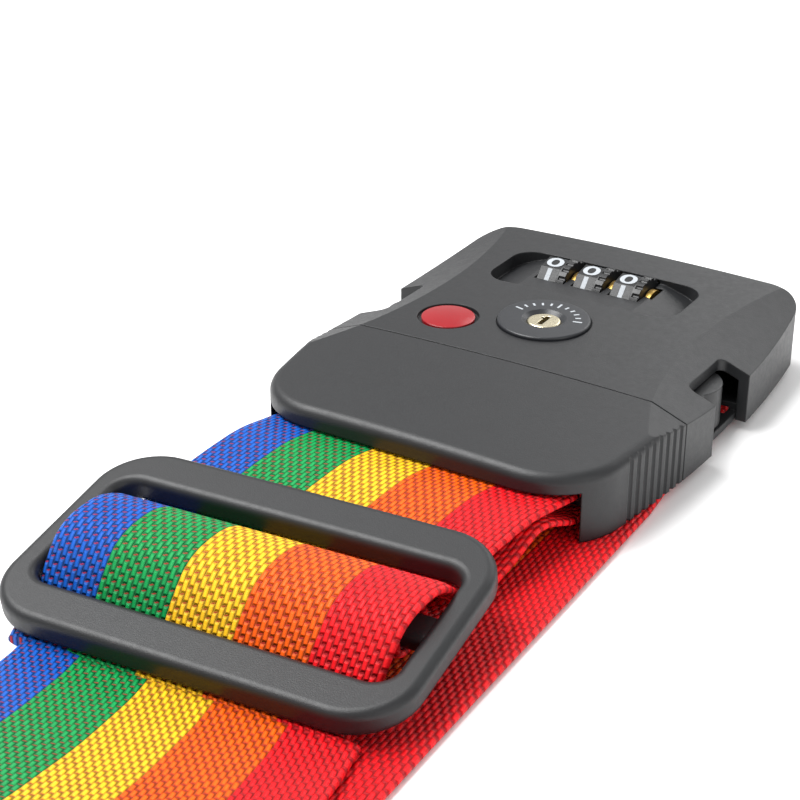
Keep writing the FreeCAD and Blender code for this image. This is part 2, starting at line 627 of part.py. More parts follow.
plate_slab = box("plate_slab", ("-plate_half", "plate_half"), ("plate_start", "plate_end"), ("plate_low", "plate_low + plate_thick"))
plate_fingers = []
finger_tip = "dial_y - sleeve_radius - plate_travel - 0.05"
for number, place in enumerate(dial_places):
    finger_x = (f"{place} + dial_width / 2 + 0.35", f"{place} + dial_width / 2 + gate_thick + 0.05")
    plate_fingers.append(box(
        f"plate_upright_{number}", finger_x, ("plate_end - 1.2", "dial_y - gate_radius - plate_travel - 0.1"),
        ("plate_low", "dial_z + 0.7")))
    plate_fingers.append(box(
        f"plate_tongue_{number}", finger_x, ("plate_end", finger_tip), ("dial_z - 0.7", "dial_z + 0.7")))
plate_slot = box(
    "plate_slot", ("key_x - cam_pin_radius - 0.5", "key_x + cam_pin_reach + cam_pin_radius + 0.5"),
    ("key_y - cam_pin_radius - 0.75", "key_y + cam_pin_radius + 0.75"), ("0", "20"))
spring_bays = [
    box(f"spring_bay_{n}", (f"{x} - 1.6", f"{x} + 1.6"), ("plate_start - 1.5", "plate_end - 7.0"), ("0", "20"))
    for n, x in enumerate(("-11", "11"))
]
node(cut("locking_plate", fuse("plate_whole", plate_slab, *plate_fingers), plate_slot, *spring_bays))


def coil(x):
    """A compression spring along Y from its post to the back of its bay."""
    start = S["plate_start"] + 2.1
    length = S["plate_end"] - 7.5 - start
    radius = S["spring_radius"]
    helix = Part.makeHelix((length - 2 * S["spring_wire"]) / 6.0, length - 2 * S["spring_wire"], radius)
    profile = Part.Wire(Part.makeCircle(
        S["spring_wire"], FreeCAD.Vector(radius, 0, 0), FreeCAD.Vector(0, 1, 0)))
    shape = Part.Wire(helix).makePipeShell([profile], True, True)
    shape.rotate(FreeCAD.Vector(), X_AXIS, -90)
    shape.translate(FreeCAD.Vector(x, start + S["spring_wire"], S["plate_low"] + 1.3))
    return shape


node(solid_feature("plate_springs", Part.makeCompound([coil(-11.0), coil(11.0)])))

# ---------------------------------------------------------------- badge
badge_disc = rod("badge_disc", ("badge_x", "badge_y", "shell_top - 0.85"), "badge_radius", "1.2")
badge_dome = primitive(
    "Part::Sphere", "badge_dome", ("badge_x", "badge_y", "shell_top + 0.1 - 30"), Radius="30")
node(common("badge", badge_disc, badge_dome))


# ---------------------------------------------------------------- slider
def slider():
    """A ladder-lock ring with two long bars, two rails and a middle bar."""
    half_x, half_y = "slider_width / 2", "slider_length / 2"
    ring = primitive(
        "Part::Box", "slider_blank", (f"-{half_x}", f"-{half_y}", "-10"), Length="slider_width", Width="slider_length", Height="20")
    ring = rounded("slider_outline", ring, S["slider_corner"], upright)
    window = box(
        "slider_window", (f"slider_rail - {half_x}", f"{half_x} - slider_rail"), (f"slider_bar - {half_y}", f"{half_y} - slider_bar"),
        ("-20", "20"))
    window = rounded("slider_window_round", window, S["slider_window_corner"], upright)
    outside = rod("slider_arch_out", ("0", "-50", "-slider_arch"), "slider_arch + slider_thick / 2", "100", ALONG_Y)
    inside = rod("slider_arch_in", ("0", "-60", "-slider_arch"), "slider_arch - slider_thick / 2", "120", ALONG_Y)
    blank = cut("slider_ring", common("slider_arched", ring, outside), inside, window)
    soft = rounded("slider_soft", blank, 1.25, lambda edge: not upright(edge))
    middle = box(
        "slider_middle", (f"slider_rail - {half_x} - 1", f"{half_x} - slider_rail + 1"),
        ("-slider_middle_bar / 2", "slider_middle_bar / 2"), ("-slider_middle_thick / 2", "slider_middle_thick / 2"))
    middle = rounded(
        "slider_middle_round", middle, 1.2, lambda edge: abs(edge.Vertexes[0].Point.x - edge.Vertexes[-1].Point.x) > 10)
    return fuse("slider_frame", soft, middle)


slider_frame = node(slider())
doc.recompute()
slider_frame.Placement = FreeCAD.Placement(
    FreeCAD.Vector(S["slider_x"], S["slider_y"], S["slider_z"]),
    FreeCAD.Rotation(Z_AXIS, S["slider_turn"]).multiply(FreeCAD.Rotation(X_AXIS, S["slider_tilt"])))


# ---------------------------------------------------------------- webbing
def strip(name, stations, shift, turn=0.0):
    """A length of flat webbing whose middle passes through stations of (y, z), straight across its
    width. The middle's x runs from shift[1] at y shift[0] to shift[3] at y shift[2]. The whole is then
    turned with the slider by turn degrees."""
    half = S["webbing_thick"] / 2
    lean = (shift[3] - shift[1]) / (shift[2] - shift[0])
    faces = {1: [], -1: []}
    for n, (y, z) in enumerate(stations):
        before, after = stations[max(n - 1, 0)], stations[min(n + 1, len(stations) - 1)]
        run = math.hypot(after[0] - before[0], after[1] - before[1])
        normal = (-(after[1] - before[1]) / run, (after[0] - before[0]) / run)
        for sign, points in faces.items():
            edge_y, edge_z = y + sign * half * normal[0], z + sign * half * normal[1]
            x = shift[1] + lean * (edge_y - shift[0]) - S["webbing_width"] / 2
            points.append(FreeCAD.Vector(x, edge_y, edge_z))
    sides = {}
    for sign, points in faces.items():
        curve = Part.BSplineCurve()
        curve.interpolate(points)
        flat = all(z == stations[0][1] for y, z in stations)
        sides[sign] = [points[0], points[-1]] if flat else curve.toShape().discretize(Deflection=0.01)
    outline = Part.makePolygon(sides[1] + sides[-1][::-1] + [sides[1][0]])
    shape = Part.Face(outline).extrude(X_AXIS * S["webbing_width"])
    item = node(solid_feature(name, shape))
    centre = FreeCAD.Vector(S["slider_x"], S["slider_y"], 0)
    item.Placement = FreeCAD.Placement(FreeCAD.Vector(), FreeCAD.Rotation(Z_AXIS, turn), centre)
    return item


def round_bar(centre, depth, high, radius, away, turns, lean=0.0):
    """Stations round a bar with rounded edges, away from its face, at angles in degrees from +Y towards +Z.
    The bar leans up by lean degrees."""
    stations = []
    for turn in turns:
        along, up = math.cos(math.radians(turn)), math.sin(math.radians(turn))
        flat_y = 0.0 if abs(along) < 0.01 else math.copysign(depth / 2 - radius, along)
        flat_z = 0.0 if abs(up) < 0.01 else math.copysign(high / 2 - radius, up)
        y, z = flat_y + (radius + away) * along, flat_z + (radius + away) * up
        tip = math.radians(lean)
        stations.append((
            centre[0] + y * math.cos(tip) - z * math.sin(tip), centre[1] + y * math.sin(tip) + z * math.cos(tip)))
    return stations


thick = S["webbing_thick"]
layer = thick / 2 + 0.12
stack = thick + 0.12
bar_y = S["insert_bar_set"] - S["insert_length"]
bar_z = S["underside"] + S["insert_bar_rise"]
bar_top = bar_z + S["bar_thick"] / 2 + layer
bar_low = bar_z - S["bar_thick"] / 2 - layer
tilt = math.radians(S["slider_tilt"])
reach = (S["slider_length"] - S["slider_bar"]) / 2
far_bar_y = S["slider_y"] + reach * math.cos(tilt)
near_bar_y = S["slider_y"] - reach * math.cos(tilt)
# the lowest line of a leaning bar with rounded edges
edge = 1.25
bar_drop = (S["slider_bar"] / 2 - edge) * math.sin(tilt) + (S["slider_thick"] / 2 - edge) * math.cos(tilt) + edge
far_z = S["slider_z"] + reach * math.sin(tilt) - bar_drop - thick / 2 - 0.08
near_z = S["slider_z"] - reach * math.sin(tilt) - bar_drop - thick / 2 - 0.05
tail_z = far_z - stack + 0.02
return_z = tail_z - stack + 0.02
slider_centre = (S["slider_y"], S["slider_z"])
middle = (slider_centre, S["slider_middle_bar"], S["slider_middle_thick"], 1.2)

hank_top = S["hank_layers"] * (thick + 0.05)
hank_y = -128.0
strip("webbing_near_run", [
    (hank_y, hank_top - thick), (hank_y + 4, hank_top - thick - 1.4), (hank_y + 11, hank_top - thick - 5.2),
    (hank_y + 19, 7.4), (hank_y + 27, 5.0), (near_bar_y - 12, near_z + 0.9), (near_bar_y - 8, near_z + 0.15),
    (near_bar_y - 5.4, near_z), (near_bar_y - 4.4, near_z)], (hank_y, 12.2, near_bar_y - 4.4, 2.4))
strip("webbing_bulge", [
    (near_bar_y - 2.0, near_z), (near_bar_y - 0.8, near_z), (near_bar_y + 2.2, near_z + 0.1),
    (near_bar_y + 4.2, near_z + 0.75), (near_bar_y + 5.9, near_z + 2.1), (near_bar_y + 7.5, near_z + 4.0)]
    + round_bar(*middle, layer + stack + 0.1, (168, 145, 120, 90, 62, 38), S["slider_tilt"])
    + [(far_bar_y - 8.7, far_z + 2.2), (far_bar_y - 6.6, far_z + 0.9), (far_bar_y - 4.4, far_z + 0.12),
       (far_bar_y - 2.4, far_z), (far_bar_y - 1.2, far_z), (far_bar_y - 0.2, far_z)],
    (near_bar_y - 2.0, 0.66, far_bar_y - 0.2, -1.64), S["slider_turn"])
strip("webbing_far_run", [
    (far_bar_y + 2.2, far_z), (far_bar_y + 3.0, far_z + 0.03), (far_bar_y + 6.0, far_z + 0.6), (-38.5, 8.35), (-33.0, 8.8),
    (-27.5, 8.35), (-22.5, bar_top + 0.12), (bar_y - 1.5, bar_top), (bar_y - 0.5, bar_top)],
    (far_bar_y + 2.2, -3.2, bar_y, 0.9))
strip("webbing_insert_loop", round_bar(
    (bar_y, bar_z), S["bar_depth"], S["bar_thick"], S["bar_thick"] * 0.45, layer,
    (90, 64, 42, 21, 0, -21, -42, -64, -90)), (bar_y, 0.9, bar_y + 5, 0.9))
strip("webbing_return_run", [
    (bar_y - 0.5, bar_low), (bar_y - 2.0, bar_low), (-22.5, bar_low + 0.3), (-25.6, bar_low + 1.5), (-29.0, 6.5),
    (-32.0, 6.9), (-34.8, 6.2), (-37.5, 5.2), (-40.5, 4.5), (-43.2, return_z + 0.25), (-45.4, return_z + 0.02),
    (far_bar_y, return_z), (-52.2, return_z), (-53.0, return_z)], (bar_y, 0.9, -53.0, -1.9))
strip("webbing_sewn_loop", (
    [(-55.3, return_z), (-56.0, return_z), (-57.6, return_z + 0.05), (-59.6, return_z + 0.3), (-61.8, return_z + 1.0)]
    + round_bar(*middle, layer, (-90, -120, -150, -180, -210, -240, -270, -300, -330, -352), S["slider_tilt"])
    + [(-61.4, 7.7), (-60.2, 6.4), (-58.4, tail_z + 0.4), (-56.3, tail_z + 0.04), (-54.0, tail_z), (far_bar_y, tail_z),
       (-48.6, tail_z), (-47.6, tail_z)]),
    (-55.3, -1.1, -38.0, 0.32), S["slider_turn"])

low_z = thick / 2
strip("webbing_bottom_run", [(hank_y, low_z), (-60.0, low_z), (10.0, low_z)], (hank_y, 8.9, 10.0, 5.6))
rear_y = S["lock_length"] - S["rear_bar_set"]
rear_z = S["underside"] + S["rear_bar_rise"]
recess_z = S["underside"] + S["tail_recess"] - layer + 0.03
strip("webbing_lock_loop", (
    [(10.2, low_z), (16.0, low_z), (22.0, low_z), (28.0, low_z), (33.0, low_z + 0.01), (38.0, low_z + 0.02), (41.0, low_z + 0.04), (43.2, low_z + 0.2), (45.5, low_z + 0.85),
     (47.5, low_z + 2.1)]
    + round_bar(
        (rear_y, rear_z), S["rear_bar_depth"], S["rear_bar_thick"], S["rear_bar_thick"] * 0.45, layer + 0.05,
        (-20, 10, 38, 64, 90, 116, 142, 176))
    + [(rear_y - 2.6, rear_z - 0.9), (rear_y - 3.3, rear_z - 2.0), (rear_y - 4.7, rear_z - 2.66),
       (rear_y - 6.4, recess_z + 0.02), (rear_y - 9.0, recess_z), (rear_y - 12.0, recess_z), (rear_y - 16.0, recess_z),
       (27.0, recess_z), (24.2, recess_z)]),
    (10.2, 5.6, rear_y + 4, 0.1))

# the length that is put away: folded into a flat hank and tied
hank_x = 10.5
hank_end = hank_y - S["hank_length"]
hank_mid = hank_y - S["hank_length"] / 2
hank_block = box(
    "hank_block", (f"{hank_x} - webbing_width / 2", f"{hank_x} + webbing_width / 2"),
    (f"{hank_y} - hank_length", f"{hank_y} - 0.1"), ("0", "hank_layers * (webbing_thick + 0.05)"))
hank_round = rounded(
    "hank_round", hank_block, 2.0,
    lambda edge: abs(edge.Vertexes[0].Point.x - edge.Vertexes[-1].Point.x) > 10
    and abs(edge.CenterOfMass.y - hank_end) < 0.5)
waist_outer = box(
    "waist_outer", (hank_x - 60, hank_x + 60), (f"{hank_mid} - tie_width / 2", f"{hank_mid} + tie_width / 2"), ("-5", "40"))
waist_inner = box(
    "waist_inner", (f"{hank_x} - webbing_width / 2 + tie_thick", f"{hank_x} + webbing_width / 2 - tie_thick"),
    (f"{hank_mid} - tie_width", f"{hank_mid} + tie_width"), ("tie_thick", "hank_layers * (webbing_thick + 0.05) - tie_thick"))
node(cut("webbing_hank", hank_round, cut("waist", waist_outer, waist_inner)))
tie_outer = box(
    "tie_outer", (f"{hank_x} - webbing_width / 2", f"{hank_x} + webbing_width / 2"),
    (f"{hank_mid} - tie_width / 2 + 0.3", f"{hank_mid} + tie_width / 2 - 0.3"), ("0", "hank_layers * (webbing_thick + 0.05)"))
tie_inner = box(
    "tie_inner", (f"{hank_x} - webbing_width / 2 + tie_thick - 0.02", f"{hank_x} + webbing_width / 2 - tie_thick + 0.02"),
    (f"{hank_mid} - tie_width", f"{hank_mid} + tie_width"),
    ("tie_thick - 0.02", "hank_layers * (webbing_thick + 0.05) - tie_thick + 0.02"))
node(cut("hank_tie", tie_outer, tie_inner))

# ---------------------------------------------------------------- checks and files
doc.recompute()
for item in doc.Objects:
    if "Invalid" in item.State or "Error" in item.State:
        raise RuntimeError(f"{item.Name} failed: {item.State}")
for item in nodes:
    if item.Shape.isNull() or not item.Shape.isValid() or item.Shape.Volume <= 0:
        raise RuntimeError(f"{item.Label} has no valid shape")
os.makedirs("parts", exist_ok=True)
for item in nodes:
    item.Shape.exportStep(f"parts/{item.Label}.step")
    box_now = item.Shape.BoundBox
    print(
        f"{item.Label:22s} solids {len(item.Shape.Solids)} volume {item.Shape.Volume:9.1f}"
        f"  x {box_now.XMin:7.2f} {box_now.XMax:7.2f}  y {box_now.YMin:7.2f} {box_now.YMax:7.2f}"
        f"  z {box_now.ZMin:6.2f} {box_now.ZMax:6.2f}")
print(len(nodes), "nodes")
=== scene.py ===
# %% [markdown]
# # A luggage strap with a lock buckle
#
# The strap lies flat on a pale floor: a woven rainbow belt, a grey slider and a
# lock buckle with three number dials and a key lock. The rigid parts come from
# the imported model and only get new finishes. The soft parts are made here.

# %% Load the frame
import math

import bmesh
import bpy
from mathutils import Matrix, Vector


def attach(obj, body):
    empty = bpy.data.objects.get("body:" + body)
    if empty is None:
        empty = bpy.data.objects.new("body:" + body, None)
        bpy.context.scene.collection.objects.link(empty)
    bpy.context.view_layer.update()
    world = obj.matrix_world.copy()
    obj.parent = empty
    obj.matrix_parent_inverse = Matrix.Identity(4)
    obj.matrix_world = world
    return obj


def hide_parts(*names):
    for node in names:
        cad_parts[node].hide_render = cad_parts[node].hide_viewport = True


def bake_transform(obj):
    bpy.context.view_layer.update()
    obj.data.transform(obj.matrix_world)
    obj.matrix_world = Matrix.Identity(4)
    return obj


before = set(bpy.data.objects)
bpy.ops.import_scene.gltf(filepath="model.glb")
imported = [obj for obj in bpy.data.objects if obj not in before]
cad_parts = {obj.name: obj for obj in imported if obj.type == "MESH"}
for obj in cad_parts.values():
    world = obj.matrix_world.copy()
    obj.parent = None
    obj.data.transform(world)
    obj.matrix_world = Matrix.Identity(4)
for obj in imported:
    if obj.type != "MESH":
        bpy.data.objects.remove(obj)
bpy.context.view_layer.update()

MM = 0.001

# %% [markdown]
# ## Arithmetic on shader sockets
#
# Every finish below is made of small sums on numbers that change over the
# surface. One class wraps a socket, so that `1 - mask` or `height * 0.5` adds
# the Math nodes by itself, and `node` adds any other kind of node. That keeps
# a material as readable as a formula.

# %% A socket that takes part in sums
class Signal:
    """One output socket of a node tree, with arithmetic."""

    def __init__(self, tree, socket=None):
        self.tree = tree
        self.socket = socket

    def node(self, kind, settings=None, inputs=None, output=0):
        """Add a node: its settings first, then the values or links of its sockets."""
        made = self.tree.nodes.new("ShaderNode" + kind)
        for name, value in (settings or {}).items():
            if name == "stops":
                Signal.set_stops(made.color_ramp, value)
            else:
                setattr(made, name, value)
        for name, value in (inputs or {}).items():
            if isinstance(value, Signal):
                self.tree.links.new(value.socket, made.inputs[name])
            else:
                made.inputs[name].default_value = value
        return Signal(self.tree, made.outputs[output])

    @staticmethod
    def set_stops(ramp, stops):
        while len(ramp.elements) < len(stops):
            ramp.elements.new(0.5)
        for element, (position, colour) in zip(ramp.elements, stops):
            element.position = position
            element.color = (*colour, 1.0)

    def maths(self, operation, *values):
        return self.node("Math", {"operation": operation}, dict(enumerate(values)))

    def __add__(self, other):
        return self.maths("ADD", self, other)

    __radd__ = __add__

    def __sub__(self, other):
        return self.maths("SUBTRACT", self, other)

    def __rsub__(self, other):
        return self.maths("SUBTRACT", other, self)

    def __mul__(self, other):
        return self.maths("MULTIPLY", self, other)

    __rmul__ = __mul__

    def __truediv__(self, other):
        return self.maths("DIVIDE", self, other)

    def __pow__(self, other):
        return self.maths("POWER", self, other)

    def __abs__(self):
        return self.maths("ABSOLUTE", self)

    def fade(self, low, high):
        """0 below low, 1 above high and smooth between them."""
        return self.node(
            "MapRange", {"interpolation_type": "SMOOTHSTEP", "clamp": True},
            {"Value": self, "From Min": low, "From Max": high})

    def mixed(self, colour_a, colour_b):
        """colour_a where this is 0, colour_b where it is 1."""
        return self.node(
            "Mix", {"data_type": "RGBA"}, {0: self, 6: rgba(colour_a), 7: rgba(colour_b)}, output=2)


def rgba(colour):
    return colour if isinstance(colour, Signal) else (*colour, 1.0)


def srgb(red, green, blue):
    """A colour written as 0 to 255 values, turned into linear light."""
    return tuple(
        ((c / 255 + 0.055) / 1.055) ** 2.4 if c > 10 else c / 255 / 12.92
        for c in (red, green, blue))


print("a middle grey is", [round(c, 3) for c in srgb(128, 128, 128)], "in linear light")


# %% Start a material and feed its shader
def finish(name, constants):
    """A new material with its empty signal and its shader, whose fixed values are set here."""
    material = bpy.data.materials.new(name)
    material.use_nodes = True
    tree = material.node_tree
    shader = tree.nodes["Principled BSDF"]
    for socket, value in constants.items():
        shader.inputs[socket].default_value = value
    return material, Signal(tree), shader


def feed(shader, **signals):
    """Link signals to the shader: base_color, roughness, metallic, normal."""
    for name, signal in signals.items():
        socket = shader.inputs[name.replace("_", " ").title()]
        signal.tree.links.new(signal.socket, socket)


def bumped(start, height, depth, strength=1.0, normal=None):
    """A Bump node: height is in 0 to 1 and depth in metres."""
    inputs = {"Height": height, "Distance": depth, "Strength": strength}
    if normal is not None:
        inputs["Normal"] = normal
    return start.node("Bump", None, inputs)


print("ready to make finishes")

# %% [markdown]
# ## The weave
#
# The belt is woven from thick shiny yarns. Each lengthwise yarn rises over a
# few crossing yarns and dives again, so the surface is rows of short plump
# floats, shifted by half a float from one yarn to the next. A thin red
# crossing yarn shows where they dive, and the colour is darkened there and
# on the flanks of each float as painted shading. Real geometry for some ten
# thousand floats would be heavy, so the floats are worked out from two
# distances kept on the mesh: how far across the belt a point is, and how far
# along it.

# %% The colours of the belt and the size of a float
STRIPES = [
    (0.0, srgb(0, 86, 186)),
    (9.2, srgb(0, 150, 74)),
    (19.4, srgb(255, 196, 28)),
    (29.8, srgb(255, 96, 0)),
    (40.2, srgb(250, 14, 26)),
]
BELT_WIDTH = 50.0
YARN_PITCH = 0.76
FLOAT_LENGTH = 1.95
FLOAT_LEAN = 0.32
WEFT_COLOUR = srgb(178, 18, 34)
WEAVE_DEPTH = 0.0006
print(round(BELT_WIDTH / YARN_PITCH), "lengthwise yarns across the belt")


# %% The woven finish
def woven(name, stripes):
    """Webbing whose yarns take their colour from the stripe they lie in, darkened by painted shading where
    the floats dive.
    """
    material, start, shader = finish(name, {"IOR": 1.38})
    place = start.node("UVMap", {"uv_map": "belt"})
    split = place.node("SeparateXYZ", None, {0: place})
    across = split / (YARN_PITCH * MM)
    along = Signal(start.tree, split.socket.node.outputs[1]) / (FLOAT_LENGTH * MM)
    yarn = across.maths("FLOOR", across)
    odd = yarn.maths("FLOORED_MODULO", yarn, 2.0)
    step = along + odd * 0.5
    cell = step.maths("FLOOR", step)
    t = (step - cell) * 2 - 1
    s = (across - yarn) * 2 - 1 + t * FLOAT_LEAN
    ends = abs(t)
    # a float is round across and dives at its two ends
    crown = 1 - s * s * 0.9
    body = crown.maths("MAXIMUM", crown, 0.0) ** 0.5
    dive = 1 - ends.fade(0.52, 1.0)
    plump = body * dive
    # a crossing yarn shows in the gap beside the place where a float dives
    weft = ends.fade(0.80, 0.98) * (1 - abs(s).fade(0.20, 0.80))
    # no two floats are quite as dark
    seed = yarn * 7.31 + cell * 3.77
    speck = start.node("TexWhiteNoise", {"noise_dimensions": "1D"}, {"W": seed})
    stops = [(low / BELT_WIDTH, colour) for low, colour in stripes]
    position = (yarn + 0.5) * (YARN_PITCH / BELT_WIDTH)
    dyed = start.node("ValToRGB", {"stops": stops}, {"Fac": position})
    dyed.socket.node.color_ramp.interpolation = "CONSTANT"
    # painted shading: each yarn's colour is darkened on the flanks of a float and where it dives into the
    # gaps; the speck adds a little random tone
    painted_shade_and_tone = 0.42 + plump * 0.62 + (speck - 0.5) * 0.16
    painted_shade_and_tone_colour = start.node("CombineColor", None, {0: painted_shade_and_tone, 1: painted_shade_and_tone, 2: painted_shade_and_tone})
    shaded_yarn_colour = start.node(
        "Mix", {"data_type": "RGBA", "blend_type": "MULTIPLY"}, {0: 1.0, 6: dyed, 7: painted_shade_and_tone_colour}, output=2)
    colour = weft.mixed(shaded_yarn_colour, WEFT_COLOUR)
    fibres = start.node("Mapping", None, {"Vector": place, "Scale": (16000.0, 2600.0, 1.0)})
    twist = start.node(
        "TexNoise", {"noise_dimensions": "3D"}, {"Vector": fibres, "Scale": 1.0, "Detail": 2.0})
    height = plump * 0.86 + weft * 0.22 + twist * 0.10
    feed(
        shader, base_color=colour, roughness=0.66 - plump * 0.16,
        normal=bumped(start, height, WEAVE_DEPTH))
    return material


belt_finish = woven("belt_weave", STRIPES)
print("made", belt_finish.name)

# %% [markdown]
# ## Moulded plastic
#
# The shells and the slider are nylon, moulded in a lightly sparked tool: a
# satin grey with a very fine pebble, a little flow mottling, and slightly
# brighter where handling has polished it. Noise at three sizes gives that.

# %% The moulded finish
def moulded(name, colour, pebble=0.00003, gloss=0.46, mottle=0.10, soft_edge=0.0003):
    """Satin moulded plastic with fine pebble and rounded-looking edges."""
    material, start, shader = finish(name, {"IOR": 1.5})
    where = start.node("TexCoord", output=3)
    fine = start.node("TexNoise", None, {"Vector": where, "Scale": 5200.0, "Detail": 2.0})
    broad = start.node("TexNoise", None, {"Vector": where, "Scale": 160.0, "Detail": 3.0})
    rub = start.node("TexNoise", None, {"Vector": where, "Scale": 900.0, "Detail": 4.0, "Roughness": 0.7})
    darker = tuple(c * (1 - mottle * 2) for c in colour)
    lighter = tuple(c * (1 + mottle * 2) for c in colour)
    tint = (broad * 0.7 + fine * 0.3).mixed(darker, lighter)
    edge = start.node("Bevel", {"samples": 6}, {"Radius": soft_edge})
    feed(
        shader, base_color=tint, roughness=gloss + (rub - 0.5) * 0.22,
        normal=bumped(start, fine, pebble, 0.8, edge))
    return material


shell_finish = moulded("shell_nylon", srgb(27, 28, 30))
slider_finish = moulded("slider_nylon", srgb(24, 25, 27))
arm_finish = moulded("latch_nylon", srgb(27, 28, 30), gloss=0.4)
dial_finish = moulded("dial_black", srgb(20, 21, 23), gloss=0.4, soft_edge=0.00012)
disc_finish = moulded("disc_plastic", srgb(34, 36, 40), gloss=0.36, pebble=0.000015, soft_edge=0.0002)
base_finish = moulded("base_nylon", srgb(24, 25, 27), gloss=0.55)
print("made", len(bpy.data.materials), "finishes so far")


# %% The metal finish
def metal(name, colour, roughness, grain):
    """Turned or plated metal with fine tool marks."""
    material, start, shader = finish(name, {"IOR": 1.6, "Metallic": 1.0})
    where = start.node("TexCoord", output=3)
    marks = start.node("TexNoise", None, {"Vector": where, "Scale": grain, "Detail": 3.0, "Roughness": 0.65})
    stain = start.node("TexNoise", None, {"Vector": where, "Scale": 420.0, "Detail": 2.0})
    tint = stain.mixed(tuple(c * 0.82 for c in colour), colour)
    edge = start.node("Bevel", {"samples": 6}, {"Radius": 0.0002})
    feed(
        shader, base_color=tint, roughness=roughness + marks * 0.2,
        normal=bumped(start, marks, 0.00001, 0.6, edge))
    return material


plug_finish = metal("plug_nickel", srgb(236, 226, 196), 0.18, 3000.0)
brass_finish = metal("sleeve_brass", srgb(214, 176, 96), 0.25, 2200.0)
steel_finish = metal("plated_steel", srgb(190, 192, 196), 0.28, 2600.0)
zinc_finish = metal("cast_zinc", srgb(168, 170, 172), 0.42, 1500.0)
print("made the metals")

# %% The badge's smooth red
badge_finish = moulded("badge_enamel", srgb(150, 14, 24), gloss=0.16, pebble=0.000008, soft_edge=0.0003)
print("made", badge_finish.name)

# %% Give the rigid parts their finishes
FINISH_OF = {
    "insert_cover": shell_finish, "lock_cover": shell_finish,
    "insert_base": base_finish, "lock_base": base_finish,
    "latch_arm_right": arm_finish, "latch_arm_left": arm_finish,
    "slider_frame": slider_finish, "key_disc": disc_finish, "key_plug": plug_finish,
    "badge": badge_finish, "locking_plate": zinc_finish,
}
for n in (1, 2, 3):
    FINISH_OF[f"dial_{n}"] = dial_finish
    FINISH_OF[f"dial_sleeve_{n}"] = brass_finish
for node_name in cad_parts:
    item = bpy.data.objects.get(node_name)
    if item is None or item.type != "MESH":
        continue
    for slot in item.material_slots:
        slot.material = FINISH_OF.get(node_name, steel_finish)
print("finished", len(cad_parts), "nodes")

# %% [markdown]
# ## The belt
#
# A belt is a flat strip that follows a path, so each run is made as a strip
# mesh: the path is a smooth curve through a few stations, and at each step of
# it a cross-section is set square to the run. The section is a little thinner
# at its two edges, where the yarns turn round. The mesh keeps the distances
# across and along in a UV map, in metres, which is what the weave reads.


# %% A smooth path through stations
def smooth_path(stations, step):
    """Points about step apart on a curve through (y, z, x) stations, in millimetres."""
    points = [Vector(station) for station in stations]
    padded = [2 * points[0] - points[1], *points, 2 * points[-1] - points[-2]]
    path = []
    for n in range(1, len(padded) - 2):
        a, b, c, d = padded[n - 1:n + 3]
        knots = [0.0]
        for p, q in ((a, b), (b, c), (c, d)):
            knots.append(knots[-1] + max((q - p).length, 1e-6) ** 0.5)
        count = max(2, round((c - b).length / step))
        for k in range(count):
            t = knots[1] + (knots[2] - knots[1]) * k / count
            path.append(spline_point(a, b, c, d, knots, t))
    path.append(points[-1])
    return path


def spline_point(a, b, c, d, knots, t):
    """A point on a centripetal Catmull-Rom curve, which doesn't overshoot."""
    k0, k1, k2, k3 = knots
    ab = a * ((k1 - t) / (k1 - k0)) + b * ((t - k0) / (k1 - k0))
    bc = b * ((k2 - t) / (k2 - k1)) + c * ((t - k1) / (k2 - k1))
    cd = c * ((k3 - t) / (k3 - k2)) + d * ((t - k2) / (k3 - k2))
    abc = ab * ((k2 - t) / (k2 - k0)) + bc * ((t - k0) / (k2 - k0))
    bcd = bc * ((k3 - t) / (k3 - k1)) + cd * ((t - k1) / (k3 - k1))
    return abc * ((k2 - t) / (k2 - k1)) + bcd * ((t - k1) / (k2 - k1))


print("a path of two stations 10 mm apart has", len(smooth_path([(0, 0, 0), (10, 0, 0)], 1.0)), "points")


# %% A strip of belt along a path
INNER_LINES = [4.0 + n * 2.1 for n in range(21)]
ACROSS = [0.0, 0.25, 0.7, 1.4, 2.6] + INNER_LINES + [47.4, 48.6, 49.3, 49.75, 50.0]
THICK = 1.5
EDGE_ROUNDING = 1.4
EDGE_SHARE = 0.30


def half_thickness(across):
    """Half the belt's thickness at a distance across it: rounded at both edges."""
    edge = min(across, BELT_WIDTH - across)
    return THICK / 2 * (EDGE_SHARE + (1 - EDGE_SHARE) * min(1.0, edge / EDGE_ROUNDING) ** 0.5)


def piece_from(name, mesh):
    """A new object of that name, holding the mesh."""
    data = bpy.data.meshes.new(name)
    mesh.to_mesh(data)
    mesh.free()
    piece = bpy.data.objects.new(name, data)
    bpy.context.scene.collection.objects.link(piece)
    return piece


def add_face(mesh, distances, corners):
    """A face on (vertex, across, along) corners, with both distances kept in metres."""
    face = mesh.faces.new([vertex for vertex, across, along in corners])
    for loop, (vertex, across, along) in zip(face.loops, corners):
        loop[distances].uv = (across * MM, along * MM)
    return face


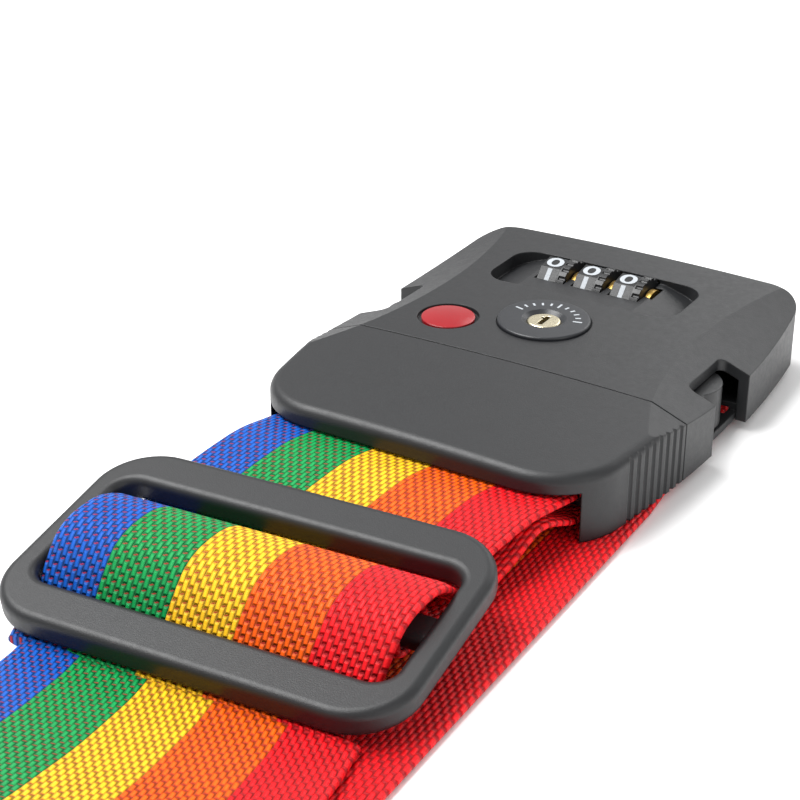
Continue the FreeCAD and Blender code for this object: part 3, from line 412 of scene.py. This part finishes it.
def strip(name, body, stations, step=1.0, after=None):
    """A closed strip of belt through (y, z, x) stations."""
    path = smooth_path(stations, step)
    mesh = bmesh.new()
    distances = mesh.loops.layers.uv.new("belt")
    rows, along = [], 0.0
    for n, (y, z, x) in enumerate(path):
        y0, z0 = path[max(n - 1, 0)][:2]
        y1, z1 = path[min(n + 1, len(path) - 1)][:2]
        run = math.hypot(y1 - y0, z1 - z0)
        up = Vector((0.0, -(z1 - z0) / run, (y1 - y0) / run))
        if n:
            along += (path[n] - path[n - 1]).length
        row = []
        for side in (1, -1):
            for across in ACROSS if side > 0 else reversed(ACROSS):
                off = across - BELT_WIDTH / 2
                point = Vector((x + off, y, z)) + up * (side * half_thickness(across))
                if after is not None:
                    point = after(point)
                row.append((mesh.verts.new(point * MM), across, along))
        rows.append(row)
    for first, second in zip(rows, rows[1:]):
        for k in range(len(first)):
            m = (k + 1) % len(first)
            add_face(mesh, distances, [first[k], first[m], second[m], second[k]]).smooth = True
    for row in (rows[0], rows[-1]):
        add_face(mesh, distances, row)
    bmesh.ops.recalc_face_normals(mesh, faces=mesh.faces)
    piece = piece_from(name, mesh)
    piece.data.materials.append(belt_finish)
    if isinstance(body, str):
        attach(piece, body)
    else:
        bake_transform(piece)
    print(name, "is", round(along, 1), "mm long")
    return piece


print("a strip has", len(ACROSS) * 2, "points round each section")

# %% [markdown]
# ## Where the belt goes
#
# From the folded spare length the belt passes under the slider's near bar,
# bulges up through its window, goes down behind the far bar and on to the bar
# inside the buckle. There it turns back under itself and is sewn round the
# slider's middle bar. Its other end lies flat under everything and turns up
# into the lock half. Each stretch held by one body rides on it; the stretches
# between two bodies are fixed in place and ride on neither.

# %% The runs beside and through the slider
BAR_TOP, BAR_LOW = 7.67, 3.53
BELT_X = 0.9
SLIDER_X = -1.2
SLIDER_CENTRE = Vector((SLIDER_X, -65.0, 0.0))
SLIDER_TURN = Matrix.Rotation(math.radians(4.7), 3, "Z")


def turned(point):
    """Where a point of the belt lies once it is square to the turned slider."""
    return SLIDER_CENTRE + SLIDER_TURN @ (point - SLIDER_CENTRE)


WINDOW_Y, WINDOW_REACH = -65.5, 11.0
WIDENED, SHIFTED = 0.036, 0.9


def spread(point):
    """The same, where the belt is also squeezed wider in the middle of the slider's window."""
    squeeze = math.exp(-((point.y - WINDOW_Y) / WINDOW_REACH) ** 4)
    wide = point.copy()
    wide.x = SLIDER_X + (point.x - SLIDER_X) * (1 + WIDENED * squeeze) + SHIFTED * squeeze
    return turned(wide)


near_run = strip(
    "belt_near_run", ("strap", "slider", (0, -0.120, 0), (0, -0.090, 0)),
    [(-128.2, 14.0, 12.2), (-124.0, 12.7, 11.3), (-117.0, 9.6, 9.7), (-109.0, 7.2, 7.9), (-101.0, 5.0, 6.1),
     (-92.5, 3.3, 4.2), (-88.0, 2.55, 3.2), (-84.5, 2.36, 2.45), (-80.6, 2.36, 1.6)])
bulge = strip(
    "belt_bulge", "slider",
    [(-83.6, 2.36, -1.2), (-80.7, 2.36, -2.2), (-77.7, 2.5, -2.7), (-75.9, 3.3, -2.75), (-74.6, 4.9, -2.7),
     (-73.4, 7.0, -2.6), (-72.0, 9.2, -2.4), (-70.4, 10.9, -2.3), (-68.2, 12.0, -2.1), (-65.4, 12.5, -1.8),
     (-62.4, 12.4, -1.5), (-60.0, 11.6, -1.2), (-57.8, 10.0, -1.0), (-56.0, 8.3, -0.8), (-54.5, 7.1, -0.9),
     (-52.5, 6.79, -1.2), (-49.6, 6.78, -1.6)],
    step=0.7, after=spread)
far_run = strip(
    "belt_far_run", ("slider", "strap", (0, -0.046, 0), (0, -0.024, 0)),
    [(-51.8, 6.78, -2.7), (-48.2, 6.78, -3.1), (-46.9, 6.85, -3.05), (-44.0, 7.4, -2.7), (-38.5, 8.35, -1.9),
     (-33.0, 8.8, -1.2), (-27.5, 8.35, -0.4), (-22.5, BAR_TOP + 0.12, 0.3), (-17.5, BAR_TOP, BELT_X)])

# %% The turn round the insert's bar and the way back to the slider
TURN = [
    (-18.8, BAR_TOP), (-16.1, BAR_TOP), (-15.2, 7.47), (-14.6, 7.0), (-14.2, 6.4), (-14.1, 5.6),
    (-14.2, 4.8), (-14.6, 4.2), (-15.2, 3.73), (-16.1, BAR_LOW), (-18.8, BAR_LOW)]
insert_turn = strip(
    "belt_insert_turn", "strap", [(y, z, BELT_X) for y, z in TURN], step=0.5)
return_run = strip(
    "belt_return_run", ("strap", "slider", (0, -0.022, 0), (0, -0.048, 0)),
    [(-17.6, BAR_LOW, BELT_X), (-20.0, 3.55, 0.65), (-22.5, 3.85, 0.4), (-25.6, 5.05, 0.1),
     (-29.0, 6.45, -0.2), (-32.0, 6.85, -0.5), (-34.8, 6.2, -0.7), (-37.5, 5.2, -0.9), (-40.5, 4.5, -1.1),
     (-43.2, 3.85, -1.3), (-45.6, 3.6, -1.5), (-50.0, 3.58, -1.8), (-54.2, 3.58, -2.0)])
sewn_loop = strip(
    "belt_sewn_loop", "slider",
    [(-54.0, 3.58, -1.0), (-56.0, 3.58, -1.15), (-57.6, 3.64, -1.3), (-59.6, 3.9, -1.45),
     (-61.8, 4.6, -1.6), (-64.65, 5.38, -1.85), (-67.0, 5.3, -2.05), (-67.9, 5.9, -2.1),
     (-68.35, 7.2, -2.15), (-68.3, 8.6, -2.15), (-67.6, 9.45, -2.1), (-65.35, 10.06, -1.9),
     (-63.0, 10.13, -1.7), (-62.1, 9.5, -1.65), (-61.8, 8.8, -1.6), (-61.4, 7.7, -1.6),
     (-60.2, 6.4, -1.5), (-58.4, 5.6, -1.35), (-56.3, 5.23, -1.15), (-54.0, 5.18, -1.0),
     (-50.0, 5.18, -0.65), (-47.6, 5.18, -0.45)],
    step=0.8, after=turned)

# %% The run that lies on the ground and the turn round the lock's bar
GROUND_Z = 0.78
bottom_run = strip(
    "belt_bottom_run", ("strap", "lock", (0, -0.110, 0), (0, -0.012, 0)),
    [(-128.2, GROUND_Z, 8.9), (-107.0, GROUND_Z, 8.4), (-86.0, GROUND_Z, 7.8), (-60.0, GROUND_Z, 7.15),
     (-30.0, GROUND_Z, 6.55), (-9.6, GROUND_Z, 6.1)],
    step=2.0)
lock_turn = strip(
    "belt_lock_turn", "lock",
    [(-9.9, GROUND_Z, 6.1), (5.0, GROUND_Z, 4.65), (20.0, GROUND_Z, 3.15), (32.0, GROUND_Z, 1.97),
     (38.0, 0.79, 1.38), (41.0, 0.82, 1.08), (43.2, 0.97, 0.86), (45.5, 1.62, 0.63), (47.5, 2.87, 0.44),
     (49.1, 4.48, 0.28), (49.25, 5.6, 0.26), (48.9, 6.4, 0.3), (48.3, 6.92, 0.36), (46.9, 7.1, 0.5),
     (45.5, 6.92, 0.63), (44.9, 6.4, 0.7), (44.55, 5.6, 0.73), (44.5, 4.6, 0.74), (43.9, 3.35, 0.8),
     (42.1, 2.58, 0.97), (39.9, 2.32, 1.2), (36.9, 2.3, 1.48), (28.0, 2.3, 2.36), (24.4, 2.3, 2.7)],
    step=0.8)

# %% [markdown]
# ## The spare length
#
# A belt like this is nearly two metres long, and most of it isn't in use. It
# is folded to and fro into a flat hank and held by a narrow tie, in line with
# the rest. The folds are one long strip through a to-and-fro path, and the tie
# pulls its layers together at the middle.

# %% The folded hank
LAYERS = 10
LAYER_PITCH = 1.545
HANK_NEAR, HANK_FAR, HANK_X = -273.0, -128.1, 10.5
HANK_TOP = 15.5
HANK_MIDDLE = (HANK_NEAR + HANK_FAR) / 2
LOWEST_Z = 0.79
END_INSET = 0.95
SIDE_LEAN = 0.25
TIE_REACH = 17.0
FLATTENED, NARROWED = 0.15, 0.045


def pinched(point):
    """Where a point of the hank lies once the tie has pulled it in."""
    pull = math.exp(-((point.y - HANK_MIDDLE) / TIE_REACH) ** 4)
    middle = HANK_TOP / 2
    height = middle + (point.z - middle) * (1 - FLATTENED * pull)
    wide = HANK_X + (point.x - HANK_X) * (1 - NARROWED * pull)
    return Vector((wide, point.y, height))


def folds():
    """The to-and-fro path as (y, z, x), bottom layer first, with a half-circle between two layers."""
    path = []
    bend = LAYER_PITCH / 2
    for layer in range(LAYERS):
        first, last = HANK_FAR - END_INSET, HANK_NEAR + END_INSET
        outward = -1
        if layer % 2:
            first, last, outward = last, first, 1
        z = LOWEST_Z + layer * LAYER_PITCH
        x = HANK_X + SIDE_LEAN * math.sin(layer * 2.3)
        path += [(first + (last - first) * k / 6, z, x) for k in range(7)]
        end = path[-1][0]
        if layer + 1 < LAYERS:
            path += [(end + outward * bend * math.cos(a), z + bend + bend * math.sin(a), x)
                     for a in (-math.pi / 4, 0.0, math.pi / 4)]
    return path


hank = strip("belt_hank", "strap", folds(), step=3.0, after=pinched)


# %% The tie round the hank
TIE_WIDTH = 21.4
TAPE_CROWN = 0.12
TAPE_SHOULDER = 1.2
TAPE_BEVEL = 0.1


def band(name, low, high, near, far, thick, corner):
    """A flat loop of tape round the box between low and high in (x, z), from near to far along y."""
    mesh = bmesh.new()
    ring = []
    x0, z0, x1, z1 = *low, *high
    for cx, cz, first in ((x1, z1, 0), (x0, z1, 90), (x0, z0, 180), (x1, z0, 270)):
        sx, sz = (1 if cx == x1 else -1), (1 if cz == z1 else -1)
        for k in range(5):
            angle = math.radians(first + 22.5 * k)
            out = Vector((math.cos(angle), 0, math.sin(angle)))
            ring.append((Vector((cx - sx * corner, 0, cz - sz * corner)), out))
    sections = []
    for base, out in ring:
        inner, outer = base + out * (corner - thick), base + out * corner
        middle = base + out * (corner + TAPE_CROWN)
        profile = [
            (inner, near), (outer, near + TAPE_BEVEL), (middle, near + TAPE_SHOULDER),
            (middle, far - TAPE_SHOULDER), (outer, far - TAPE_BEVEL), (inner, far)]
        sections.append([mesh.verts.new(Vector((p.x, y, p.z)) * MM) for p, y in profile])
    for n, section in enumerate(sections):
        following = sections[(n + 1) % len(sections)]
        for k in range(len(section)):
            m = (k + 1) % len(section)
            mesh.faces.new([section[k], section[m], following[m], following[k]]).smooth = True
    bmesh.ops.recalc_face_normals(mesh, faces=mesh.faces)
    return piece_from(name, mesh)


def tape(name, colour):
    """Narrow grey tape with a fine crosswise rib, with painted shading in the hollows between ribs."""
    material, start, shader = finish(name, {"Sheen Weight": 0.3})
    where = start.node("TexCoord", output=3)
    rib = start.node(
        "TexWave", {"bands_direction": "Y"}, {"Vector": where, "Scale": 320.0, "Distortion": 0.4})
    fuzz = start.node("TexNoise", None, {"Vector": where, "Scale": 4000.0})
    height = Signal(start.tree, rib.socket.node.outputs[1]) * 0.7 + fuzz * 0.3
    # painted shading: the colour is darker where the rib and fuzz are low, in the hollows
    tint = height.mixed(tuple(c * 0.6 for c in colour), colour)
    feed(shader, base_color=tint, roughness=0.75 - height * 0.1, normal=bumped(start, height, 0.0002))
    return material


tie = band(
    "belt_tie", (HANK_X - BELT_WIDTH / 2, 0.02), (HANK_X + BELT_WIDTH / 2, HANK_TOP),
    HANK_MIDDLE - TIE_WIDTH / 2, HANK_MIDDLE + TIE_WIDTH / 2, thick=1.0, corner=2.2)
tie.data.materials.append(tape("tie_tape", srgb(74, 76, 80)))
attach(tie, "strap")
print("tied at", round(HANK_MIDDLE, 1))

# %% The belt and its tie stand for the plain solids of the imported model
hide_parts("webbing_near_run")
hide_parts("webbing_bulge")
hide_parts("webbing_far_run")
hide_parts("webbing_insert_loop")
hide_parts("webbing_return_run")
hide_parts("webbing_sewn_loop")
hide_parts("webbing_bottom_run")
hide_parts("webbing_lock_loop")
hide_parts("webbing_hank")
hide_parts("hank_tie")
print("ten soft pieces stand for their solids")

# %% [markdown]
# ## Numbers on the dials
#
# Each dial is a ten-sided drum with a number on every side. The numbers are
# text turned into mesh, laid on each flat in turn and joined into one piece
# for each dial, so that the piece turns with its dial.


# %% The numbers
def printed(name, colour):
    """Matt ink, a little uneven where it was pad-printed."""
    material, start, shader = finish(name, {})
    where = start.node("TexCoord", output=3)
    speck = start.node("TexNoise", None, {"Vector": where, "Scale": 6000.0, "Detail": 2.0})
    worn = speck.fade(0.2, 0.9)
    feed(shader, base_color=worn.mixed(colour, tuple(c * 0.72 for c in colour)), roughness=0.5 + speck * 0.2)
    return material


ink = printed("number_ink", srgb(184, 189, 194))
DIGIT_SIZE = 0.0041
DIGIT_STRETCH = Matrix.Diagonal((1.55, 0.92, 1.0, 1.0))
INK_THICK = 0.00003
INK_GAP = 0.00002
STROKE_FATTENING = 0.00007


def glyph_mesh(text):
    """The mesh of one character, centred, in metres."""
    curve = bpy.data.curves.new("glyph_" + text, "FONT")
    curve.body = text
    curve.size = DIGIT_SIZE
    curve.extrude = INK_THICK
    curve.offset = STROKE_FATTENING
    curve.align_x, curve.align_y = "CENTER", "CENTER"
    holder = bpy.data.objects.new("glyph_" + text, curve)
    bpy.context.scene.collection.objects.link(holder)
    bpy.context.view_layer.update()
    data = bpy.data.meshes.new_from_object(holder)
    bpy.data.objects.remove(holder)
    return data


DIAL_CENTRE = Vector((-1.95, 37.6, 9.75)) * MM
DIAL_PITCH = 6.95 * MM
DIAL_RADIUS, FLAT_SETBACK = 5.4, 0.05
REST_TURN = 9.8
DIGIT_SHIFT = 0.75 * MM
FLAT_TURN = 36.0
flat_radius = (DIAL_RADIUS - FLAT_SETBACK) * math.cos(math.radians(FLAT_TURN / 2)) * MM
glyphs = [glyph_mesh(str(n)) for n in range(10)]
for dial, body in enumerate(("dial_a", "dial_b", "dial_c")):
    numbers = bmesh.new()
    for digit, data in enumerate(glyphs):
        place = (
            Matrix.Translation(DIAL_CENTRE + Vector(((dial - 1) * DIAL_PITCH - DIGIT_SHIFT, 0, 0)))
            @ Matrix.Rotation(math.radians(REST_TURN + FLAT_TURN * digit), 4, "X")
            @ Matrix.Translation((0, 0, flat_radius + INK_GAP))
            @ DIGIT_STRETCH)
        copy = data.copy()
        copy.transform(place)
        numbers.from_mesh(copy)
        bpy.data.meshes.remove(copy)
    piece = piece_from(f"numbers_{dial + 1}", numbers)
    piece.data.materials.append(ink)
    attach(piece, body)
print("numbers on three dials")

# %% [markdown]
# The key disc carries an arc of short marks on its far side, with a longer one
# in the middle and at each end.

# %% The marks round the keyhole
DISC_CENTRE = Vector((-0.8, 16.0, 14.45)) * MM
MARKS, MARK_STEP, MARK_RING = 11, 15, 5.5 * MM
MARK_WIDTH, MARK_THICK = 0.34 * MM, 0.04 * MM
LONG_MARK, SHORT_MARK = 1.5, 0.9
marks = bmesh.new()
for n in range(MARKS):
    length = (LONG_MARK if n % 5 == 0 else SHORT_MARK) * MM
    place = (
        Matrix.Translation(DISC_CENTRE)
        @ Matrix.Rotation(math.radians(MARK_STEP * (n - MARKS // 2)), 4, "Z")
        @ Matrix.Translation((0, MARK_RING, MARK_THICK / 2))
        @ Matrix.Diagonal((MARK_WIDTH, length, MARK_THICK, 1.0)))
    bmesh.ops.create_cube(marks, size=1.0, matrix=place)
disc_marks = piece_from("disc_marks", marks)
disc_marks.data.materials.append(ink)
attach(disc_marks, "lock")
print("marks round the keyhole")

# %% [markdown]
# ## The floor, the light and the camera
#
# A pale floor, a big soft light above on the left, a wide one behind, a weak
# one on the right and a bright even sky, so that shadows are soft and the
# plastic shows long pale reflections. The camera stands to the right of the
# strap's near end and looks down along it.

# %% The floor
floor_mesh = bmesh.new()
bmesh.ops.create_grid(floor_mesh, x_segments=8, y_segments=8, size=3.0)
floor = piece_from("floor", floor_mesh)
floor.location.z = -0.00002
paper, start, shader = finish("pale_floor", {"Roughness": 0.9})
cloud = start.node("TexNoise", None, {"Vector": start.node("TexCoord", output=3), "Scale": 3.0})
feed(shader, base_color=cloud.mixed(srgb(250, 250, 250), srgb(253, 253, 253)))
floor.data.materials.append(paper)
print("floor ready")


# %% The lights
LIGHT_AIM = Vector((0.0, -0.03, 0.005))


def soft_light(name, power, size, place):
    """A rectangular lamp of that size and place, aimed between the slider and the buckle."""
    lamp = bpy.data.lights.new(name, "AREA")
    lamp.shape = "RECTANGLE"
    lamp.size, lamp.size_y = size
    lamp.energy = power
    item = bpy.data.objects.new(name, lamp)
    item.location = place
    item.rotation_euler = (LIGHT_AIM - Vector(place)).to_track_quat("-Z", "Y").to_euler()
    bpy.context.scene.collection.objects.link(item)


soft_light("key_light", 11.0, (0.7, 0.5), (-0.35, -0.10, 0.75))
soft_light("back_light", 2.2, (0.9, 0.4), (0.10, 0.80, 0.45))
soft_light("side_light", 0.9, (0.5, 0.4), (0.75, -0.25, 0.35))
world = bpy.data.worlds.new("studio")
world.use_nodes = True
sky = world.node_tree.nodes["Background"]
sky.inputs["Color"].default_value = (1.0, 1.0, 1.0, 1.0)
sky.inputs["Strength"].default_value = 0.62
bpy.context.scene.world = world
bpy.context.scene.view_settings.view_transform = "Standard"
print("three soft lights")

# %% The camera
camera = bpy.data.cameras.new("camera")
camera.lens = 83.25
camera.sensor_width = 36.0
camera.clip_start = 0.01
viewer = bpy.data.objects.new("camera", camera)
viewer.location = Vector((123.99, -227.72, 138.59)) * MM
viewer.rotation_euler = (math.radians(90 - 27), 0.0, math.radians(32))
bpy.context.scene.collection.objects.link(viewer)
bpy.context.scene.camera = viewer
print("camera at", [round(v, 3) for v in viewer.location])
